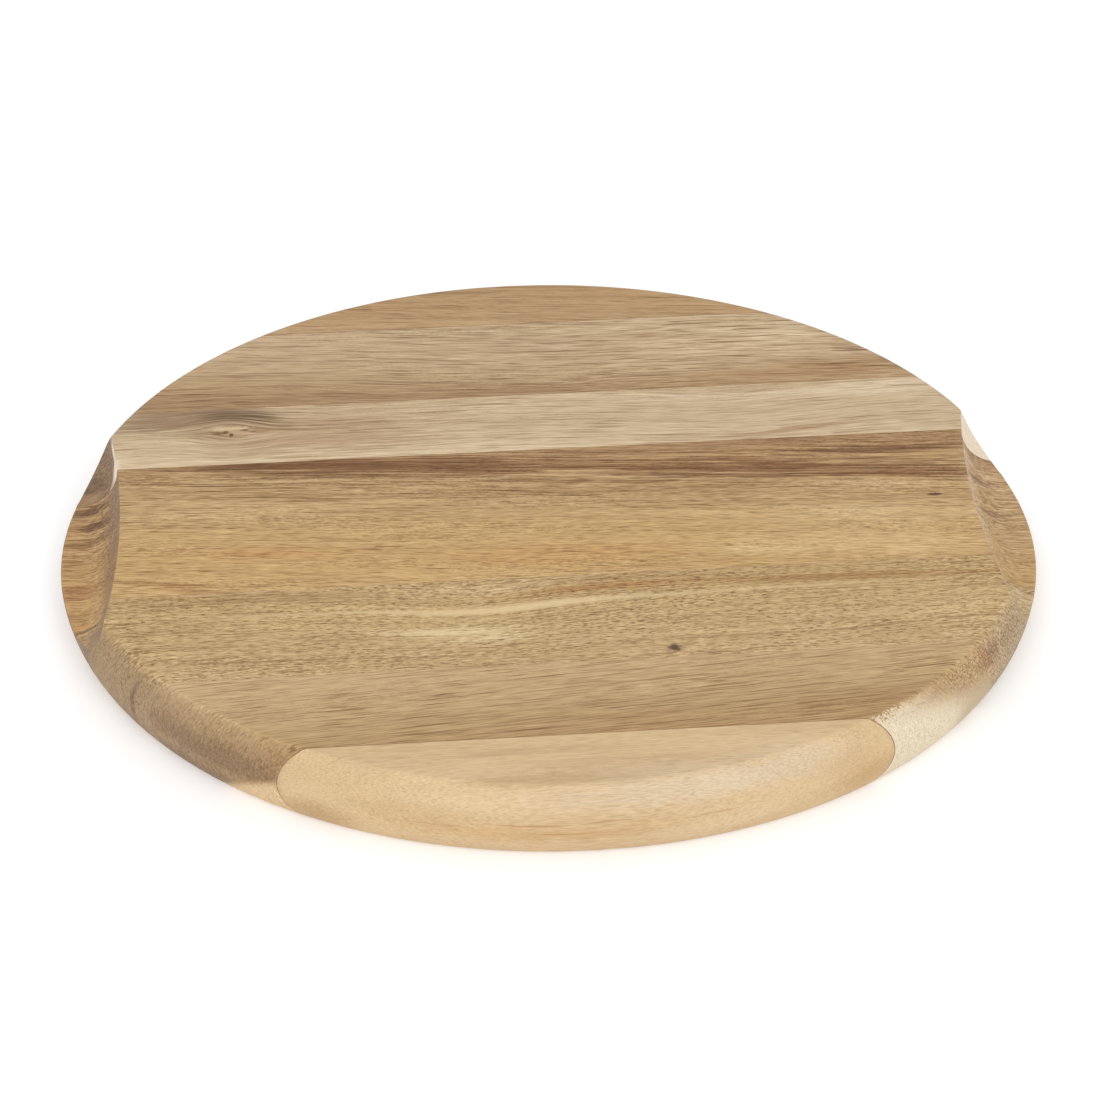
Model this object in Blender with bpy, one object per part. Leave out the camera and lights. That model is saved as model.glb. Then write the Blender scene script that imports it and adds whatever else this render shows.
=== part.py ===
# Round serving board: seven wooden staves, edge-glued into a panel, then turned to a disc
# with a rounded rim. A thumb grip is scooped into the top edge at each end of the grain.
# Metres, +Z up. The origin is the middle of the flat underside, and the grain runs along X.

import math

import bmesh
import bpy

MM = 0.001

# The disc
BOARD_DIAMETER = 320 * MM
BOARD_THICKNESS = 25 * MM
RIM_BULGE = 5 * MM  # how far the rounded rim swells past the edges of the flat faces
ARRIS_RADIUS = 1.5 * MM  # easing between the rounded rim and each flat face

# Widths of the staves across the grain, from the far rim (+Y) to the near rim (-Y).
# Staves 1 and 7 are measured from the rim, and stave 4 fills what the others leave.
STAVE_1_WIDTH = 33 * MM
STAVE_2_WIDTH = 50 * MM
STAVE_3_WIDTH = 37 * MM
STAVE_5_WIDTH = 50 * MM
STAVE_6_WIDTH = 39.5 * MM
STAVE_7_WIDTH = 31 * MM

# The joints: a film of glue between two planed edges
GLUE_THICKNESS = 0.15 * MM
GLUE_CLEARANCE = 0.05 * MM  # from the film to the planed edge on each side of it

# The thumb grips
GRIP_REACH = 19.8 * MM  # from the rim in to the middle of the grip's top edge
GRIP_DEPTH = 13.5 * MM  # from the top down to the grip's floor, and the radius of its cove
GRIP_EDGE_RADIUS = 425 * MM  # top edge seen from above, bowed towards the board's middle
GRIP_TURN = math.radians(-1.8)  # line through both grips, turned from the grain

# Oversize of the blanks and cutters past the surfaces that they make
BLANK_ALLOWANCE = 3 * MM

# Facets
RIM_STEPS = 144
RIM_ARC_STEPS = 12
ARRIS_STEPS = 3
COVE_STEPS = 12
GRIP_SWEEP_STEPS = 40
SMOOTH_ANGLE = math.radians(30)

BOARD_RADIUS = BOARD_DIAMETER / 2
MID_HEIGHT = BOARD_THICKNESS / 2
RIM_RADIUS = (RIM_BULGE**2 + MID_HEIGHT**2) / (2 * RIM_BULGE)  # arc with that bulge, centred at mid-height
STAVE_4_WIDTH = BOARD_DIAMETER - (
    STAVE_1_WIDTH + STAVE_2_WIDTH + STAVE_3_WIDTH + STAVE_5_WIDTH + STAVE_6_WIDTH + STAVE_7_WIDTH
)

# Name, width and colour (red, green and blue, 0 to 255) of each stave, from far to near
STAVES = [
    ("stave_1_far_edge", STAVE_1_WIDTH, (186, 143, 97)),
    ("stave_2_pored", STAVE_2_WIDTH, (193, 158, 115)),
    ("stave_3_sapwood", STAVE_3_WIDTH, (205, 176, 137)),
    ("stave_4_heartwood", STAVE_4_WIDTH, (190, 151, 101)),
    ("stave_5_interlocked", STAVE_5_WIDTH, (187, 154, 107)),
    ("stave_6_straight", STAVE_6_WIDTH, (179, 144, 103)),
    ("stave_7_near_edge", STAVE_7_WIDTH, (205, 176, 136)),
]
WOOD_ROUGHNESS = 0.5
GLUE_COLOUR = (142, 106, 68)
GLUE_ROUGHNESS = 0.6


def clear_scene():
    for old in list(bpy.data.objects):
        bpy.data.objects.remove(old, do_unlink=True)


def arc_points(centre, radius, start, end, steps):
    """Points (r, z) along an arc, both ends included."""
    angles = [start + (end - start) * i / steps for i in range(steps + 1)]
    return [(centre[0] + radius * math.cos(a), centre[1] + radius * math.sin(a)) for a in angles]


def rim_profile():
    """Half section of the rim, from the top flat's edge down to the bottom flat's edge."""
    arc_centre = BOARD_RADIUS - RIM_RADIUS
    easing_rise = MID_HEIGHT - ARRIS_RADIUS
    easing_run = math.sqrt((RIM_RADIUS - ARRIS_RADIUS) ** 2 - easing_rise**2)
    flat_radius = arc_centre + easing_run
    meet = math.atan2(easing_rise, easing_run)
    square = math.pi / 2
    top_centre = (flat_radius, BOARD_THICKNESS - ARRIS_RADIUS)
    bottom_centre = (flat_radius, ARRIS_RADIUS)
    top = arc_points(top_centre, ARRIS_RADIUS, square, meet, ARRIS_STEPS)
    rim = arc_points((arc_centre, MID_HEIGHT), RIM_RADIUS, meet, -meet, RIM_ARC_STEPS)
    bottom = arc_points(bottom_centre, ARRIS_RADIUS, -meet, -square, ARRIS_STEPS)
    return top + rim[1:-1] + bottom


def grip_profile():
    """Closed section of a grip's cutter, as (distance from its axis, z): a quarter-round cove and a floor."""
    top = BOARD_THICKNESS + BLANK_ALLOWANCE
    outer = GRIP_EDGE_RADIUS - max(GRIP_REACH, GRIP_DEPTH) - BLANK_ALLOWANCE
    cove_centre = (GRIP_EDGE_RADIUS - GRIP_DEPTH, BOARD_THICKNESS)
    cove = arc_points(cove_centre, GRIP_DEPTH, 0, -math.pi / 2, COVE_STEPS)
    return [(GRIP_EDGE_RADIUS, top)] + cove + [(outer, BOARD_THICKNESS - GRIP_DEPTH), (outer, top)]


def mesh_from(bm, name):
    bmesh.ops.recalc_face_normals(bm, faces=bm.faces)
    mesh = bpy.data.meshes.new(name)
    bm.to_mesh(mesh)
    bm.free()
    mesh.shade_smooth()
    mesh.set_sharp_from_angle(angle=SMOOTH_ANGLE)
    return mesh


def ring_at(profile, angle):
    return [(r * math.cos(angle), r * math.sin(angle), z) for r, z in profile]


def disc_mesh():
    """The rim's profile turned about Z, closed by one flat face above and one below."""
    bm = bmesh.new()
    profile = rim_profile()
    rings = []
    for i in range(RIM_STEPS):
        corners = ring_at(profile, 2 * math.pi * i / RIM_STEPS)
        rings.append([bm.verts.new(corner) for corner in corners])
    for here, there in zip(rings, rings[1:] + rings[:1]):
        for j in range(len(profile) - 1):
            bm.faces.new((here[j], here[j + 1], there[j + 1], there[j]))
    bm.faces.new([ring[0] for ring in rings])
    bm.faces.new([ring[-1] for ring in rings])
    return mesh_from(bm, "turned_disc")


def grip_mesh():
    """The cutter's section swept about Z, over a sector that faces -X and is wider than the board."""
    bm = bmesh.new()
    profile = grip_profile()
    half_sweep = BOARD_RADIUS / GRIP_EDGE_RADIUS
    rings = []
    for i in range(GRIP_SWEEP_STEPS + 1):
        angle = math.pi - half_sweep + 2 * half_sweep * i / GRIP_SWEEP_STEPS
        rings.append([bm.verts.new(corner) for corner in ring_at(profile, angle)])
    for here, there in zip(rings, rings[1:]):
        for j in range(len(profile)):
            k = (j + 1) % len(profile)
            bm.faces.new((here[j], here[k], there[k], there[j]))
    bm.faces.new(rings[0])
    bm.faces.new(rings[-1])
    return mesh_from(bm, "grip_cutter")


def strip_mesh(name, near, far):
    """A square-edged strip between two planes across Y, longer and thicker than the board."""
    bm = bmesh.new()
    bmesh.ops.create_cube(bm, size=1)
    reach = BOARD_RADIUS + BLANK_ALLOWANCE
    tall = BOARD_THICKNESS + 2 * BLANK_ALLOWANCE
    for vert in bm.verts:
        x, y, z = vert.co
        vert.co = (2 * reach * x, (near + far) / 2 + (far - near) * y, MID_HEIGHT + tall * z)
    return mesh_from(bm, name)


def helper(name, mesh):
    """An object that only cuts or trims others."""
    obj = bpy.data.objects.new(name, mesh)
    obj.hide_render = True
    obj.display_type = "WIRE"
    bpy.context.scene.collection.objects.link(obj)
    return obj


def grip_cutters():
    mesh = grip_mesh()
    axis_distance = BOARD_RADIUS - GRIP_REACH + GRIP_EDGE_RADIUS
    cutters = []
    for name, turn in (("right_grip", GRIP_TURN), ("left_grip", GRIP_TURN + math.pi)):
        cutter = helper(name, mesh)
        cutter.location = (axis_distance * math.cos(turn), axis_distance * math.sin(turn), 0)
        cutter.rotation_euler = (0, 0, turn)
        cutters.append(cutter)
    return cutters


def linear(colour):
    """Shader values of a colour given as red, green and blue from 0 to 255."""
    shares = [value / 255 for value in colour]
    return [((c + 0.055) / 1.055) ** 2.4 if c > 0.04045 else c / 12.92 for c in shares]


def plain_material(name, colour, roughness):
    material = bpy.data.materials.new(name)
    material.use_nodes = True
    shader = material.node_tree.nodes["Principled BSDF"]
    shader.inputs["Base Color"].default_value = (*linear(colour), 1)
    shader.inputs["Roughness"].default_value = roughness
    shader.inputs["Metallic"].default_value = 0
    return material


def trim(obj, operation, other):
    modifier = obj.modifiers.new(other.name, "BOOLEAN")
    modifier.operation = operation
    modifier.solver = "EXACT"
    modifier.object = other


def board_piece(name, near, far, material, disc, cutters, parent):
    """One strip of the panel, trimmed to the turned disc and scooped where a grip reaches it."""
    mesh = strip_mesh(name, near, far)
    mesh.materials.append(material)
    obj = bpy.data.objects.new(name, mesh)
    obj.parent = parent
    bpy.context.scene.collection.objects.link(obj)
    trim(obj, "INTERSECT", disc)
    for cutter in cutters:
        trim(obj, "DIFFERENCE", cutter)
    return obj


def build_board():
    board = bpy.data.objects.new("serving_board", None)
    bpy.context.scene.collection.objects.link(board)
    disc = helper("turned_disc", disc_mesh())
    cutters = grip_cutters()
    glue = plain_material("glue", GLUE_COLOUR, GLUE_ROUGHNESS)
    half_film = GLUE_THICKNESS / 2
    half_joint = half_film + GLUE_CLEARANCE
    last = len(STAVES) - 1
    far_line = BOARD_RADIUS
    for i, (name, width, colour) in enumerate(STAVES):
        near_line = far_line - width
        far = far_line + BLANK_ALLOWANCE if i == 0 else far_line - half_joint
        near = near_line - BLANK_ALLOWANCE if i == last else near_line + half_joint
        wood = plain_material(name, colour, WOOD_ROUGHNESS)
        board_piece(name, near, far, wood, disc, cutters, board)
        if i < last:
            film = f"glue_line_{i + 1}_{i + 2}"
            board_piece(film, near_line - half_film, near_line + half_film, glue, disc, cutters, board)
        far_line = near_line


clear_scene()
build_board()
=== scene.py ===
import math
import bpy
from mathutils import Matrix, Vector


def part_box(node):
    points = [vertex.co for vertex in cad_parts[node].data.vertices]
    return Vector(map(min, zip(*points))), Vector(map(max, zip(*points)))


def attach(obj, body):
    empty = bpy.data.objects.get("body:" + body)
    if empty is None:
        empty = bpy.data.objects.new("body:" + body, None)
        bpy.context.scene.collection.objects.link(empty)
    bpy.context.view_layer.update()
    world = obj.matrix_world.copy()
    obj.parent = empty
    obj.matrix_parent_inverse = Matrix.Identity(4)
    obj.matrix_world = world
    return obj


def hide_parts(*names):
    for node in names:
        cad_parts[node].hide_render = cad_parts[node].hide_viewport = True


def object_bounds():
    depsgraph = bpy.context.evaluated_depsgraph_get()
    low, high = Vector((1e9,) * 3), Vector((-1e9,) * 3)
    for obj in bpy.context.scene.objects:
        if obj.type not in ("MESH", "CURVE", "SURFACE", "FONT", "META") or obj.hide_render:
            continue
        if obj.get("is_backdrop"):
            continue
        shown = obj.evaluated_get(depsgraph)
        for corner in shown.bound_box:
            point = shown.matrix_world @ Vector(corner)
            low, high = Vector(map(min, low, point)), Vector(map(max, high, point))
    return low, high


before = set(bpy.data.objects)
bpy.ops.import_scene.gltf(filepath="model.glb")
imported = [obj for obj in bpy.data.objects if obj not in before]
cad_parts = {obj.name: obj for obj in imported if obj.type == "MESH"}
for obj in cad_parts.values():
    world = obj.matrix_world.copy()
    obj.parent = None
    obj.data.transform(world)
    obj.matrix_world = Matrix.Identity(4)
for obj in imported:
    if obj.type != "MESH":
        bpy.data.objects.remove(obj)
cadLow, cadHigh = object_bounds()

from types import SimpleNamespace

import bmesh
import bpy
import numpy as np
from mathutils import Matrix, Vector

# Round serving board of edge-glued staves: wood over the CAD solids, a pale floor, soft light and the camera.
# Shapes are in metres, grain along X, underside at z = 0. The wood's figure is in millimetres.
scene = bpy.context.scene
quarter = math.pi / 2
perMetre = 1000.0

# The turned disc. The rim's arc swells past the flats, and an eased arris meets each flat.
rim = dict(bulge=0.005, arris=0.0015)
radius = (cadHigh.y - cadLow.y) / 2
thickness = cadHigh.z - cadLow.z
middle = thickness / 2
arris = rim["arris"]
arcRadius = (rim["bulge"] ** 2 + middle**2) / (2 * rim["bulge"])
arcCentre = radius - arcRadius
meetAngle = math.asin((middle - arris) / (arcRadius - arris))
flatRadius = arcCentre + (arcRadius - arris) * math.cos(meetAngle)
meetRadius = arcCentre + arcRadius * math.cos(meetAngle)
meetHeight = middle + arcRadius * math.sin(meetAngle)
arrisRun = arris * (quarter - meetAngle)
halfRun = arrisRun + arcRadius * meetAngle

# A thumb grip: a quarter-round cove swept along an arc, with a flat floor out to the rim
grip = dict(
    reach=0.0198,  # from the rim in to the middle of the top edge
    depth=0.0135,  # from the top down to the floor, and the cove's radius
    edgeRadius=0.425,  # the top edge, seen from above
    turn=math.radians(-1.8),  # line through both grips, from the grain
    edgeEase=0.0006,  # sanding of the top edge
    lipEase=0.0008,  # sanding where the grip runs out on the rim
    easeLimit=0.35,  # most of a short cove that the sanding takes
)
axisReach = radius - grip["reach"] + grip["edgeRadius"]
axisX = axisReach * math.cos(grip["turn"])
axisY = axisReach * math.sin(grip["turn"])
coveAngles = np.linspace(0, quarter, 900)  # tried one by one to find where the cove cuts the disc

# Points along each part of the board's section, and how the finished mesh is joined and shaded
sectionSteps = dict(top=14, upper=18, corner=4, cove=22, floor=8, lower=40, bottom=8)
rowTurn = 0.5  # degrees round the disc from one row to the next
mergeGap = 2e-6
creaseAngle = math.radians(40)


# Point of the rim's section, as radius and height. The run is the length along it from the top flat's edge:
# round the arris, then along the arc. The lower half mirrors the upper.
def rimPoint(run):
    near = np.minimum(run, 2 * halfRun - run)
    onArris = near < arrisRun
    angle = np.where(onArris, quarter - near / arris, meetAngle - (near - arrisRun) / arcRadius)
    out = np.where(onArris, flatRadius + arris * np.cos(angle), arcCentre + arcRadius * np.cos(angle))
    up = np.where(onArris, thickness - arris + arris * np.sin(angle), middle + arcRadius * np.sin(angle))
    return out, np.where(run <= halfRun, up, thickness - up)


# The run at which the upper half of the rim has this radius: the radius gives the angle by its cosine
def runAtRadius(out):
    out = np.clip(out, flatRadius, radius)
    onArris = arris * (quarter - np.arccos(np.clip((out - flatRadius) / arris, 0, 1)))
    onArc = arrisRun + arcRadius * (meetAngle - np.arccos(np.clip((out - arcCentre) / arcRadius, -1, 1)))
    return np.where(out < meetRadius, onArris, onArc)


# The run at which the rim has this height: the height gives the angle by its sine
def runAtHeight(up):
    onArris = arris * (quarter - np.arcsin(np.clip((up - thickness + arris) / arris, -1, 1)))
    onArc = arrisRun + arcRadius * (meetAngle - np.arcsin(np.clip((up - middle) / arcRadius, -1, 1)))
    return np.where(up > meetHeight, onArris, onArc)


# Point of the disc's section in the plane across Y: x is the root of the profile's radius squared
# less y squared
def discPoint(run, y):
    out, up = rimPoint(run)
    return np.sqrt(np.maximum(out**2 - y**2, 0)), up


# Point of the cove, a quarter circle swept about the grip's axis: angle 0 is the grip's top edge
# and a quarter turn is where the floor starts
def covePoint(angle, y):
    sweep = grip["edgeRadius"] - grip["depth"] * (1 - np.cos(angle))
    return axisX - np.sqrt(sweep**2 - (y - axisY) ** 2), thickness - grip["depth"] * np.sin(angle)


# How far inside the disc the cove passes at each angle: the profile's radius squared less the square
# of the cove's distance from the middle
def coveSpare(y):
    x, up = covePoint(coveAngles[None], y[:, None])
    out, _ = rimPoint(runAtHeight(up))
    return out**2 - x**2 - y[:, None] ** 2


# The two rows where the grip runs out on the rim, by halving between the middle and almost the rim
def gripTips():
    halvings = 40
    almost = 0.98  # of the radius
    inside = np.zeros(2)
    outside = np.array([-1.0, 1.0]) * radius * almost
    for _ in range(halvings):
        between = (inside + outside) / 2
        opened = coveSpare(between).max(axis=1) > 0
        inside = np.where(opened, between, inside)
        outside = np.where(opened, outside, between)
    return inside, coveAngles[coveSpare(inside).argmax(axis=1)]


tipRows, tipAngles = gripTips()


# Angles between which the cove cuts the disc, in each row, and whether it starts on the flat top
# and ends on the floor
def coveSpan(y):
    spare = coveSpare(y)
    cut = spare > 0
    rows = np.arange(len(y))
    last = len(coveAngles) - 1
    first = cut.argmax(axis=1)
    final = last - cut[:, ::-1].argmax(axis=1)

    def crossing(a, b):
        fall = spare[rows, a] - spare[rows, b]
        share = spare[rows, a] / np.where(fall == 0, 1, fall)
        return coveAngles[a] + (coveAngles[b] - coveAngles[a]) * share

    start = np.where(first == 0, 0, crossing(np.maximum(first - 1, 0), first))
    end = np.where(final == last, quarter, crossing(final, np.minimum(final + 1, last)))
    opened = cut.any(axis=1)
    tip = np.where(y < 0, tipAngles[0], tipAngles[1])
    start = np.where(opened, start, tip)
    end = np.where(opened, end, tip)
    onTop = opened & cut[:, 0]
    onFloor = opened & cut[:, -1]
    return tuple(row[:, None] for row in (opened, start, end, onTop, onFloor))


# Even shares from 0 to 1, in one row
def evenly(count):
    return np.linspace(0, 1, count)[None]


# Eased corner from a to c: points of the parabola that b pulls, without its two ends
def easedCorner(a, b, c):
    t = evenly(sectionSteps["corner"] + 1)[:, 1:-1]
    return tuple(p * (1 - t) ** 2 + 2 * q * t * (1 - t) + r * t**2 for p, q, r in zip(a, b, c))


# Section of the board right of its middle, in the planes across Y: flat top, rim, cove, floor, rim again
# and flat bottom. Where there is no grip, the grip's points fall together on the rim.
def rightSection(y):
    opened, start, end, onTop, onFloor = coveSpan(y)
    y = y[:, None]
    depth = grip["depth"]
    easeCap = grip["easeLimit"] * depth * (end - start)
    ease = np.minimum(grip["edgeEase"], easeCap)
    lip = np.minimum(grip["lipEase"], easeCap)

    # where the flat top ends, where the grip's top edge lies and where the grip runs out on the rim
    topRun = runAtRadius(np.abs(y))
    flatX, topZ = discPoint(topRun, y)
    edgeX, edgeZ = covePoint(start, y)
    splitRun = np.maximum(runAtHeight(edgeZ), topRun)
    leaveRun = np.maximum(runAtHeight(covePoint(end, y)[1]), topRun)
    splitX, splitZ = discPoint(splitRun, y)
    edgeX, edgeZ = np.where(opened, edgeX, splitX), np.where(opened, edgeZ, splitZ)

    # flat top, and the rim down to the grip's top edge
    beforeRun = np.maximum(splitRun - ease, topRun)
    beforeX, beforeZ = discPoint(beforeRun, y)
    beforeX, beforeZ = np.where(onTop, edgeX - ease, beforeX), np.where(onTop, thickness, beforeZ)
    flatEnd = np.where(onTop, beforeX, flatX)
    u = evenly(sectionSteps["top"])
    top = flatEnd * u, topZ + 0 * u
    u = evenly(sectionSteps["upper"])[:, 1:]
    upperX, upperZ = discPoint(topRun + (beforeRun - topRun) * u, y)
    upper = np.where(onTop, beforeX, upperX), np.where(onTop, beforeZ, upperZ)

    # cove and floor, out to the lip
    coveStart = start + ease / depth
    coveEnd = np.where(onFloor, quarter, end - lip / depth)
    u = evenly(sectionSteps["cove"])
    coveX, coveZ = covePoint(coveStart + (coveEnd - coveStart) * u, y)
    coveX, coveZ = np.where(opened, coveX, splitX), np.where(opened, coveZ, splitZ)
    leaveX, leaveZ = discPoint(leaveRun, y)
    floorStart = coveX[:, -1:]
    floorLip = np.where(onFloor, np.minimum(lip, 0.5 * (leaveX - floorStart)), 0)  # half of a short floor
    floorX = np.where(onFloor, leaveX - floorLip, floorStart)
    u = evenly(sectionSteps["floor"])[:, 1:]
    floor = floorStart + (floorX - floorStart) * u, coveZ[:, -1:] + 0 * u

    # rim below the lip, and flat bottom
    lowerStart = leaveRun + np.where(opened, lip, 0)
    u = evenly(sectionSteps["lower"])
    lower = discPoint(lowerStart + (2 * halfRun - topRun - lowerStart) * u, y)
    u = 1 - evenly(sectionSteps["bottom"])[:, 1:]
    bottom = flatX * u, thickness - topZ + 0 * u

    # eased corners at the top edge and at the lip
    edge = easedCorner((beforeX, beforeZ), (edgeX, edgeZ), (coveX[:, :1], coveZ[:, :1]))
    floorEnd = tuple(part[:, -1:] for part in floor)
    lowerTop = tuple(part[:, :1] for part in lower)
    leave = easedCorner(floorEnd, (leaveX, leaveZ), lowerTop)
    parts = [top, upper, edge, (coveX, coveZ), floor, leave, lower, bottom]
    return np.concatenate([p[0] for p in parts], axis=1), np.concatenate([p[1] for p in parts], axis=1)


# Closed surface of the board between two planes across Y. Rows lie at y = radius times the sine of even
# angles, and at the grips' tips. The left half of each row is the right half of the row at -y, because the
# board is the same turned half round.
def boardSlice(name, low, high, rowCount):
    angles = np.linspace(math.asin(max(low / radius, -1)), math.asin(min(high / radius, 1)), rowCount)
    tips = np.concatenate([tipRows, -tipRows])
    y = radius * np.sin(angles)
    y[0], y[-1] = max(low, -radius), min(high, radius)
    y = np.unique(np.concatenate([y, tips[(tips > low) & (tips < high)]]))
    rightX, rightZ = rightSection(y)
    leftX, leftZ = rightSection(-y)
    x = np.concatenate([rightX, -leftX[:, -2:0:-1]], axis=1)
    z = np.concatenate([rightZ, leftZ[:, -2:0:-1]], axis=1)
    points = np.stack([x, np.broadcast_to(y[:, None], x.shape), z], axis=-1).reshape(-1, 3)
    index = np.arange(x.size).reshape(x.shape)
    here, there = index[:-1], index[1:]
    quads = np.stack([here, np.roll(here, -1, axis=1), np.roll(there, -1, axis=1), there], axis=-1)
    faces = quads.reshape(-1, 4).tolist()
    if low > -radius:
        faces.append(index[0, ::-1].tolist())
    if high < radius:
        faces.append(index[-1].tolist())
    mesh = bpy.data.meshes.new(name)
    mesh.from_pydata(points.tolist(), [], faces)
    joined = bmesh.new()
    joined.from_mesh(mesh)
    bmesh.ops.remove_doubles(joined, verts=joined.verts, dist=mergeGap)
    joined.to_mesh(mesh)
    joined.free()
    mesh.shade_smooth()
    mesh.set_sharp_from_angle(angle=creaseAngle)
    return mesh


def addPiece(name, mesh, material, node):
    piece = bpy.data.objects.new(name, mesh)
    scene.collection.objects.link(piece)
    mesh.materials.append(material)
    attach(piece, "root")
    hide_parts(node)


# Shader values of a colour given as red, green and blue from 0 to 255, by the sRGB curve
def linear(colour):
    share = np.array(colour) / 255
    return tuple(np.where(share > 0.04045, ((share + 0.055) / 1.055) ** 2.4, share / 12.92)) + (1.0,)


def plainMaterial(name, colour, roughness):
    material = bpy.data.materials.new(name)
    material.use_nodes = True
    shader = material.node_tree.nodes["Principled BSDF"]
    shader.inputs["Base Color"].default_value = linear(colour)
    shader.inputs["Roughness"].default_value = roughness
    return material


# Short ways to add the nodes of a material. Values are numbers, tuples or the sockets that earlier
# calls returned.
def wiring(tree):
    def feed(socket, value):
        if isinstance(value, bpy.types.NodeSocket):
            tree.links.new(value, socket)
        else:
            socket.default_value = value

    def put(kind, operation, values):
        node = tree.nodes.new(kind)
        node.operation = operation
        for socket, value in zip(node.inputs, values):
            feed(socket, value)
        return node

    def calc(operation, *values):
        return put("ShaderNodeMath", operation, values).outputs[0]

    def vector(operation, *values):
        node = put("ShaderNodeVectorMath", operation, values)
        return node.outputs["Value" if operation == "LENGTH" else "Vector"]

    def split(value):
        node = tree.nodes.new("ShaderNodeSeparateXYZ")
        feed(node.inputs[0], value)
        return tuple(node.outputs)

    def join(*values):
        node = tree.nodes.new("ShaderNodeCombineXYZ")
        for socket, value in zip(node.inputs, values):
            feed(socket, value)
        return node.outputs[0]

    def noise(place, detail=1.0):
        node = tree.nodes.new("ShaderNodeTexNoise")
        feed(node.inputs["Vector"], place)
        feed(node.inputs["Scale"], 1.0)
        feed(node.inputs["Detail"], detail)
        return node.outputs[0]

    def smooth(value, low, high):
        node = tree.nodes.new("ShaderNodeMapRange")
        node.interpolation_type = "SMOOTHSTEP"
        for socket, number in zip(node.inputs, (value, low, high, 0.0, 1.0)):
            feed(socket, number)
        return node.outputs[0]

    # sockets 6, 7 and 2 are the ones for colours
    def mix(factor, first, second, mode="MIX"):
        node = tree.nodes.new("ShaderNodeMix")
        node.data_type = "RGBA"
        node.blend_type = mode
        feed(node.inputs[0], factor)
        feed(node.inputs[6], first)
        feed(node.inputs[7], second)
        return node.outputs[2]

    def stain(factor, colour, tint):
        return mix(factor, colour, mix(1.0, colour, tint, "MULTIPLY"))

    def ramp(factor, stops):
        node = tree.nodes.new("ShaderNodeValToRGB")
        feed(node.inputs[0], factor)
        marks = node.color_ramp.elements
        marks[0].position, marks[0].color = stops[0]
        marks[1].position, marks[1].color = stops[-1]
        for position, colour in stops[1:-1]:
            marks.new(position).color = colour
        return node.outputs[0]

    return SimpleNamespace(
        feed=feed, calc=calc, vector=vector, split=split, join=join,
        noise=noise, smooth=smooth, mix=mix, stain=stain, ramp=ramp,
    )


# What all the staves share. Sizes are in millimetres, and shifts only keep one pattern apart from another.
wood = dict(
    swing=(95, 30, 30),  # one swing of the grain, along, across and down
    ringLength=300,
    specks=(1.3, 1.9, 1.5),  # specks of end grain in a millimetre
    endGrain=(0.2, 0.75),  # share of the normal along the grain where end grain starts and is full
    topGrain=(0.88, 0.42),  # share of the normal upwards where it starts and is full
    blend=20,  # half the length over which the left end's looks give way to the right's
    leftSpeck=0.3,  # coarseness of the left end beside the right
    hairlineLoss=(0.5, 0.1),  # on the end grain, left and right
    jointStain=0.2,
    jointReach=(1.4, 0.1),  # from a joint, where its stain starts and is full
    poreFloor=0.3,  # share of the pores that is left where they are sparse
    zoneStreak=140,  # how far the streaks carry a zone's end along the grain
    zoneShade=(0.42, 0.58),  # noise at which a zone's shade gives way to its tone
    zoneFade=(0.1, 1.8),  # depth below the top where a zone starts and is full
    zoneSkin=0.4,  # depth of the top that keeps its own wood
    staveShift=(713.0, 171.0, 97.0),
    layerShift=(37.0, 11.0, 5.0),
    ringShift=3.3,
    deepShift=7.3,
)
# Layers of noise along the grain. A cut makes a mask: the noise at which it starts and is full.
# The fibres are as long as the stave's fine, and the pores as its dash.
layers = dict(
    fibre=dict(width=0.36, detail=2.0, shift=0.0),
    line=dict(length=34, width=0.8, detail=3.0, shift=3.0),
    band=dict(length=120, width=3.4, detail=2.0, shift=6.0),
    broad=dict(length=120, width=13, detail=2.0, shift=9.0),
    fleck=dict(length=1.6, width=0.5, detail=1.0, shift=12.0),
    mottle=dict(length=70, width=14, detail=1.0, shift=15.0, cut=(0.42, 0.6)),
    pores=dict(width=0.6, detail=1.0, shift=18.0, cut=(0.60, 0.66)),
    crowd=dict(length=60, width=9, detail=1.0, shift=21.0, cut=(0.38, 0.58)),
    scratch=dict(length=30, width=0.7, detail=1.0, shift=24.0, cut=(0.60, 0.67)),
    gleam=dict(length=26, width=0.55, detail=1.0, shift=27.0, cut=(0.58, 0.67)),
)
# Tints that multiply the wood's colour
tints = dict(
    darkStreak=(0.60, 0.52, 0.43, 1),
    plain=(1, 1, 1, 1),
    paleStreak=(1.26, 1.31, 1.38, 1),
    scratch=(0.56, 0.47, 0.39, 1),
    gleam=(1.20, 1.24, 1.30, 1),
    pores=(0.51, 0.42, 0.34, 1),
    joint=(0.60, 0.52, 0.50, 1),
)
oil = dict(roughness=0.68, fibreGloss=0.2, specular=0.25, bump=0.3, relief=0.0002)


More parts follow.
